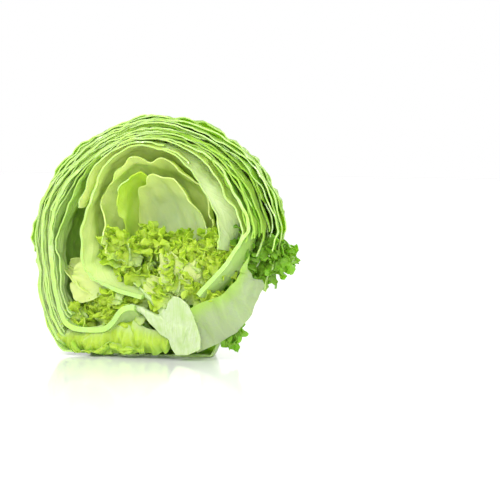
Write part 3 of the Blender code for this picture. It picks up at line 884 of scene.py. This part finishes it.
def rib_path(rib, v):
    """A rib's middle line, its direction and its half-width, smoothly through its points."""
    steps = np.linspace(0, 1, len(rib.points))
    fine = np.linspace(0, 1, 200)
    line = curve_points(rib.points, fine)
    kernel = np.hanning(SMOOTHING) / np.hanning(SMOOTHING).sum()
    reach = SMOOTHING // 2
    padded = np.pad(line, ((reach, reach), (0, 0)), mode="reflect", reflect_type="odd")
    line = np.stack([np.convolve(padded[:, axis], kernel, mode="valid") for axis in (0, 1)], axis=1)
    middle = np.stack([np.interp(v, fine, line[:, axis]) for axis in (0, 1)], axis=1)
    slope = np.stack([np.interp(v, fine, np.gradient(line[:, axis])) for axis in (0, 1)], axis=1)
    slope /= np.linalg.norm(slope, axis=1)[:, None]
    return middle, slope, np.interp(v, steps, rib.half_widths)


def make_ribs():
    """The pale ribs that leave the stem, each a tapered rod with round ends."""
    ribs = []
    for index, rib in enumerate(RIBS):
        obj, u, v = add_grid(f"rib_{index}", *RIB_GRID)
        turn = math.pi * (u + 1)
        middle, slope, half = rib_path(rib, v)
        side = np.stack((slope[:, 1], -slope[:, 0]), axis=1) * (half * np.cos(turn))[:, None]
        y = rib.behind + RIB_BEND * v * v + RIB_FLATNESS * half * np.sin(turn)
        points = np.stack((middle[:, 0] + side[:, 0], y, middle[:, 1] + side[:, 1]), axis=1)
        wobble = [waves(points, index + step, length) for step, length in RIB_WAVES]
        move_mesh(obj, points + RIB_WOBBLE * np.stack(wobble).T)
        close_ends()
        ribs.append(obj)
    return ribs


def make_stem():
    """The cut stem with its ribs, grown into one body whose front the knife left flat."""
    join_pieces([make_core()] + make_ribs(), "cut_stem")
    obj = bpy.context.object
    apply_modifier(obj, "REMESH", voxel_size=STEM_VOXEL)
    apply_modifier(obj, "SMOOTH", factor=0.5, iterations=STEM_SMOOTHINGS)
    points = mesh_points(obj)
    fan = np.arctan2(points[:, 0] - CORE_OFFSET, points[:, 2] - RIDGE_ORIGIN)
    ridges = 0.5 * np.sin(fan * 38 + 1) + 0.3 * np.sin(fan * 71) + 0.5 * waves(points, 3, 0.007)
    flat_front = STEM_FRONT + RIDGE_HEIGHT * ridges
    front = points[:, 1] < flat_front
    points[front, 1] = flat_front[front] + FRONT_ROUNDNESS * (points[front, 1] - flat_front[front])
    move_mesh(obj, row_points(points))
    obj.data.materials.clear()
    add_materials(obj, "stem")
    finish_piece(obj, "core")


def close_ends():
    """Merges a rolled-up grid's seam and fills its open ends."""
    clean_mesh(0.00002)
    edit_all(
        (bpy.ops.mesh.fill_holes, {"sides": 0}),
        (bpy.ops.mesh.normals_make_consistent, {"inside": False}),
    )


def join_pieces(pieces, name):
    """Joins pieces in one object of this name."""
    bpy.ops.object.select_all(action="DESELECT")
    for piece in pieces:
        piece.select_set(True)
    bpy.context.view_layer.objects.active = pieces[0]
    bpy.ops.object.join()
    bpy.context.object.name = bpy.context.object.data.name = name


def make_core():
    """The stem's body: a D-shaped section swept up its profile."""
    obj, u, v = add_grid("core_body", *CORE_GRID)
    around = 0.5 * (u + 1)
    radius, height = curve_points(CORE_PROFILE, v).T
    front = around < 0.5
    turn = math.pi * np.clip(2 * around - 1, 0, 1)
    x = np.where(front, 4 * around - 1, np.cos(turn)) * radius
    y = np.where(front, 0, np.sin(turn)) * radius * CORE_DEPTH_SHARE
    uneven = 1 + 0.05 * np.sin(height * 260) * np.sin(math.pi * v)
    move_mesh(obj, np.stack((CORE_OFFSET + x * uneven, y, height), axis=1))
    close_ends()
    return obj


def frill_points(frills, u, v, rng):
    """A ruffled leaf's grid, upright from the origin: narrow at its stalk and curling at its margin."""
    reach, width = frills.reach * rng.uniform(0.75, 1.15), frills.width * rng.uniform(0.8, 1.2)
    opening = np.sin(np.clip(v / 0.7, 0, 1) * math.pi / 2)
    rounding = np.sqrt(1 - 0.85 * np.clip((v - 0.5) / 0.5, 0, 1) ** 2)
    wide = width * u * (0.22 + 0.78 * opening) * rounding
    angle = np.arctan2(0.8 * u, v - 0.4)
    margin = np.maximum(np.abs(u) ** 1.5, np.clip((v - 0.4) / 0.6, 0, 1)) * np.clip(v / 0.25, 0, 1)
    phases = rng.uniform(0, 2 * math.pi, size=5)
    count = rng.integers(5, 8)
    first, second = np.sin(count * angle + phases[0]), np.sin((2 * count + 1) * angle + phases[1])
    third = np.sin((4 * count + 1) * angle + phases[2])
    curl = frills.ruffle * margin**1.4 * (first + 0.5 * second + 0.18 * third)
    broad, narrow = np.cos(2 * count * angle + phases[3]), np.cos(4 * count * angle + phases[4])
    outward = frills.ruffle * margin**2 * (0.35 * broad + 0.2 * narrow)
    cup = rng.uniform(-0.2, 0.3) * reach * v * v + 0.3 * width * (1 - u * u) * rng.uniform(-1, 1)
    return np.stack((wide + outward * np.sin(angle), cup + curl, reach * v + outward * np.cos(angle)), axis=1)


def spread_share(index, step, seed):
    """An even but unordered share from 0 to 1 for each leaf of a fan."""
    return (index * step + 0.37 * seed) % 1.0


def make_frills(frills):
    """A fan of ruffled leaves that face the cut, joined in one piece."""
    leaves = []
    for index in range(frills.count):
        rng = np.random.default_rng(frills.seed + index)
        share = spread_share(index, LEAN_STEP, frills.seed)
        lean = math.radians(frills.leans[0] + (frills.leans[1] - frills.leans[0]) * share)
        nearest, *farthest = frills.distances
        reach = np.interp(share, np.linspace(0, 1, len(farthest)), farthest)
        distance = nearest + (reach - nearest) * math.sqrt(spread_share(index, DISTANCE_STEP, frills.seed))
        obj, u, v = add_grid(f"{frills.name}_{index}", *FRILL_GRID)
        points = frill_points(frills, u, v, rng)
        turn = Matrix.Rotation(lean + rng.uniform(-LEAN_SPREAD, LEAN_SPREAD), 4, "Y")
        tilt = Matrix.Rotation(math.radians(rng.uniform(*frills.tips)), 4, "X")
        twist = Matrix.Rotation(rng.uniform(-TWIST_SPREAD, TWIST_SPREAD), 4, "Z")
        place = np.array(turn @ tilt @ twist)
        points = points @ place[:3, :3].T
        root = np.array((math.sin(lean), 0, math.cos(lean))) * distance
        points += root + np.array((frills.origin[0], 0, frills.origin[1]))
        crumple = [waves(points, frills.seed + step, CRUMPLE_LENGTH) for step in range(3)]
        points += CRUMPLE * frills.ruffle * np.stack(crumple, axis=1)
        points[:, 1] += rng.uniform(*frills.behind) - points[:, 1].min()
        move_mesh(obj, points)
        add_materials(obj, frills.finish)
        thicken(obj, FRILL_THICKNESS)
        leaves.append(obj)
    join_pieces(leaves, frills.name)
    obj = bpy.context.object
    move_mesh(obj, row_points(mesh_points(obj)))
    finish_piece(obj, frills.node)


def leaf_material(finish, colours):
    """A leaf's finish: pale base and veins, a blade that turns to the tip's colour, and light through it."""
    shader = Shader(finish.name)
    blade, base, tip = (getattr(colours, name) for name in (finish.blade, finish.base, finish.tip))
    place = shader.node("ShaderNodeTexCoord", None, (), output="Object")
    chart = shader.node("ShaderNodeTexCoord", None, (), output="UV")
    u = shader.axis(chart, "X") * 2.0 - 1.0
    v = shader.axis(chart, "Y")
    patches = shader.noise(place, 55.0)
    fine = shader.noise(place, 420.0, detail=5.0)
    main, branches = vein_lines(u, v)
    cells = shader.node(
        "ShaderNodeTexVoronoi", {"feature": "DISTANCE_TO_EDGE"}, {"Vector": place, "Scale": 230.0}
    )
    net = shader.smooth(cells, 0.0, 0.09, 1.0, 0.0)
    veins = (main + branches * 0.8 + net * 0.22).math("MINIMUM", 1.0)
    pale = shader.smooth(v + (patches - 0.5) * 0.25, 0.0, finish.reach, 1.0, 0.0)
    green = shader.smooth(v + (patches - 0.5) * 0.5, 0.55, 1.05)
    colour = shader.mix(green, blade, tip)
    colour = shader.mix(shader.smooth(fine, 0.3, 0.75) * 0.35, colour, tip)
    colour = shader.mix(pale * 0.85, colour, base)
    colour = shader.mix(veins * finish.veins, colour, colours.vein)
    # Painted shade: the further a leaf lies behind the cut, the more its colour darkens to the shade colour,
    # as the recesses between leaves would be shaded
    back = shader.axis(place, "Y")
    first, last = PAINTED_SHADE_BEHIND
    behind = shader.smooth(back + (patches - 0.5) * 0.012, first - REST_BEHIND_CUT, last - REST_BEHIND_CUT)
    colour = shader.mix(behind * finish.deepening, colour, colours.deep)
    height = veins * 0.7 + fine * 0.35 + patches * 0.3
    bump = shader.node("ShaderNodeBump", None, {"Strength": 0.6, "Distance": BUMP_DEPTH, "Height": height})
    rough = shader.smooth(fine, 0.25, 0.8, finish.gloss, finish.gloss + 0.16)
    surface = shader.node(
        "ShaderNodeBsdfPrincipled",
        None,
        {
            "Base Color": colour,
            "Roughness": rough,
            "Normal": bump,
            "Subsurface Weight": 0.3,
            "Subsurface Radius": (0.45, 0.6, 0.08),
            "Subsurface Scale": 0.005,
            "Specular IOR Level": 0.35,
            "Coat Weight": 0.1,
            "Coat Roughness": 0.15,
        },
    )
    through = shader.node("ShaderNodeBsdfTranslucent", None, {"Color": (*finish.light, 1.0)})
    both = shader.node("ShaderNodeMixShader", None, (LIGHT_THROUGH, surface, through))
    link_output(shader, both)


def link_output(shader, surface):
    """Ends a material."""
    output = shader.tree.nodes.new("ShaderNodeOutputMaterial")
    shader.tree.links.new(surface.socket, output.inputs["Surface"])


def pale_material(name, colour, streak, scale, gloss, fan_share=0.0):
    """The wet flesh of the stem and of cut edges, with streaks that fan out from the stem's foot."""
    shader = Shader(name)
    place = shader.node("ShaderNodeTexCoord", None, (), output="Object")
    x, z = shader.axis(place, "X"), shader.axis(place, "Z")
    fan = (x - 0.020).math("ARCTAN2", z + 0.030)
    along = shader.node("ShaderNodeCombineXYZ", None, (fan * 26.0, z * 30.0, 0.0))
    rays = shader.noise(along, 3.0, detail=6.0)
    streaks = shader.noise(place, scale, detail=6.0)
    patches = shader.noise(place, 90.0)
    tone = shader.mix(shader.smooth(streaks, 0.35, 0.75) * 0.45, colour, streak)
    tone = shader.mix(shader.smooth(rays, 0.42, 0.68) * fan_share, tone, streak)
    reach = ((x - 0.018) ** 2.0 + (z - 0.008) ** 2.0).math("SQRT")
    tone = shader.mix(shader.smooth(reach, 0.026, 0.052) * (1.6 * fan_share), tone, streak)
    tone = shader.mix(shader.smooth(patches, 0.42, 0.7) * 0.6, tone, streak)
    height = streaks * 0.5 + rays * (2.0 * fan_share)
    bump = shader.node("ShaderNodeBump", None, {"Strength": 0.5, "Distance": BUMP_DEPTH, "Height": height})
    surface = shader.node(
        "ShaderNodeBsdfPrincipled",
        None,
        {
            "Base Color": tone,
            "Roughness": shader.smooth(patches, 0.3, 0.8, gloss, gloss + 0.2),
            "Normal": bump,
            "Subsurface Weight": 0.5,
            "Subsurface Radius": (0.6, 0.7, 0.25),
            "Subsurface Scale": 0.005,
            "Coat Weight": 0.4,
            "Coat Roughness": 0.12,
        },
    )
    link_output(shader, surface)


class LETTUCE_OT_finishes(bpy.types.Operator):
    """Make the finishes of the leaves, cut edges and stem"""

    bl_idname = "lettuce.finishes"
    bl_label = "Finishes"

    def execute(self, context):
        colours = context.scene.lettuce_colours
        for finish in FINISHES:
            leaf_material(finish, colours)
        pale_material("cut_edge", colours.cut, colours.outside, 300.0, 0.18)
        pale_material("stem", colours.core, colours.streak, 260.0, 0.25, fan_share=0.6)
        return {"FINISHED"}


class LETTUCE_OT_leaves(bpy.types.Operator):
    """Build the leaves that wrap the head and the cupped ones inside it"""

    bl_idname = "lettuce.leaves"
    bl_label = "Leaves"

    def execute(self, context):
        sizes = context.scene.lettuce_sizes
        for leaf in RIM_LEAVES + OUTER_LEAVES + LAYERS:
            make_leaf(leaf, sizes)
        for index, depth in enumerate(FILL_DEPTHS):
            make_leaf(filling_leaf(index, depth), sizes)
        make_base_leaf()
        for leaf in CUPS:
            make_leaf(leaf, sizes)
        return {"FINISHED"}


class LETTUCE_OT_flaps(bpy.types.Operator):
    """Build the flaps that hang under the head"""

    bl_idname = "lettuce.flaps"
    bl_label = "Flaps"

    def execute(self, context):
        for flap in FLAPS:
            make_flap(flap)
        return {"FINISHED"}


class LETTUCE_OT_core(bpy.types.Operator):
    """Build the cut stem and the ribs that leave it"""

    bl_idname = "lettuce.core"
    bl_label = "Cut stem"

    def execute(self, context):
        make_stem()
        return {"FINISHED"}


class LETTUCE_OT_heart(bpy.types.Operator):
    """Build the ruffled leaves of the heart and its pockets"""

    bl_idname = "lettuce.heart"
    bl_label = "Heart"

    def execute(self, context):
        for frills in FRILLS:
            make_frills(frills)
        return {"FINISHED"}


def make_floor():
    """The pale glossy floor that the half rests on."""
    bpy.ops.object.select_all(action="DESELECT")
    bpy.ops.mesh.primitive_plane_add(size=FLOOR_SIZE, location=(0, 0, 0))
    floor = bpy.context.object
    floor.name = "floor"
    shader = Shader("floor")
    surface = shader.node(
        "ShaderNodeBsdfPrincipled",
        None,
        {"Base Color": (0.95, 0.95, 0.95, 1), "Roughness": 0.10, "Specular IOR Level": 0.5},
    )
    link_output(shader, surface)
    floor.data.materials.append(shader.material)


def add_light(name, place, size, power):
    """A soft area light that faces the object."""
    light = bpy.data.lights.new(name, "AREA")
    light.size = size
    light.energy = power
    obj = bpy.data.objects.new(name, light)
    bpy.context.scene.collection.objects.link(obj)
    obj.location = place
    obj.rotation_euler = (Vector(place) - Vector(LIT_POINT)).to_track_quat("Z", "Y").to_euler()


class LETTUCE_OT_stage(bpy.types.Operator):
    """Add the floor, the lights and the camera"""

    bl_idname = "lettuce.stage"
    bl_label = "Stage"

    def execute(self, context):
        scene = context.scene
        azimuth, height = math.radians(VIEW_AZIMUTH), math.radians(VIEW_HEIGHT)
        level = math.cos(height)
        back = Vector((math.sin(azimuth) * level, -math.cos(azimuth) * level, math.sin(height)))
        right = Vector((math.cos(azimuth), math.sin(azimuth), 0))
        up = back.cross(right)
        middle = 0.5 * PICTURE_SIZE
        stem = Vector((REST_BESIDE_CORE, -REST_BEHIND_CUT, 0))
        beside, above = middle - STEM_COLUMN, FLOOR_ROW - middle
        aim = stem + (right * beside + up * above) / PIXELS_PER_METRE
        data = bpy.data.cameras.new("camera")
        data.sensor_width = SENSOR_WIDTH
        data.lens = data.sensor_width * CAMERA_DISTANCE * PIXELS_PER_METRE / PICTURE_SIZE
        camera = bpy.data.objects.new("camera", data)
        camera.location = aim + back * CAMERA_DISTANCE
        camera.rotation_euler = back.to_track_quat("Z", "Y").to_euler()
        scene.collection.objects.link(camera)
        scene.camera = camera
        make_floor()
        for name, place, size, power in LIGHTS:
            add_light(name, place, size, power)
        scene.view_settings.view_transform = "Standard"
        world = bpy.data.worlds.new("studio")
        world.use_nodes = True
        world.node_tree.nodes["Background"].inputs["Color"].default_value = (1, 1, 1, 1)
        world.node_tree.nodes["Background"].inputs["Strength"].default_value = 1.0
        scene.world = world
        return {"FINISHED"}


class LETTUCE_PT_panel(bpy.types.Panel):
    """Lists the steps that build the lettuce."""

    bl_idname = "LETTUCE_PT_panel"
    bl_label = "Halved Lettuce"
    bl_space_type = "VIEW_3D"
    bl_region_type = "UI"
    bl_category = "Lettuce"

    def draw(self, context):
        for group in (context.scene.lettuce_sizes, context.scene.lettuce_colours):
            for name in group.__annotations__:
                self.layout.prop(group, name)
        for step in STEPS:
            self.layout.operator(step.bl_idname)


STEPS = (
    LETTUCE_OT_finishes,
    LETTUCE_OT_leaves,
    LETTUCE_OT_flaps,
    LETTUCE_OT_core,
    LETTUCE_OT_heart,
    LETTUCE_OT_stage,
)
CLASSES = (LettuceSizes, LettuceColours) + STEPS + (LETTUCE_PT_panel,)


def register():
    for item in CLASSES:
        bpy.utils.register_class(item)
    bpy.types.Scene.lettuce_sizes = bpy.props.PointerProperty(type=LettuceSizes)
    bpy.types.Scene.lettuce_colours = bpy.props.PointerProperty(type=LettuceColours)


def unregister():
    del bpy.types.Scene.lettuce_colours
    del bpy.types.Scene.lettuce_sizes
    for item in reversed(CLASSES):
        bpy.utils.unregister_class(item)


def main():
    register()
    bpy.ops.lettuce.finishes()
    bpy.ops.lettuce.leaves()
    bpy.ops.lettuce.flaps()
    bpy.ops.lettuce.core()
    bpy.ops.lettuce.heart()
    bpy.ops.lettuce.stage()
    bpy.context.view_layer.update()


if __name__ == "__main__":
    main()
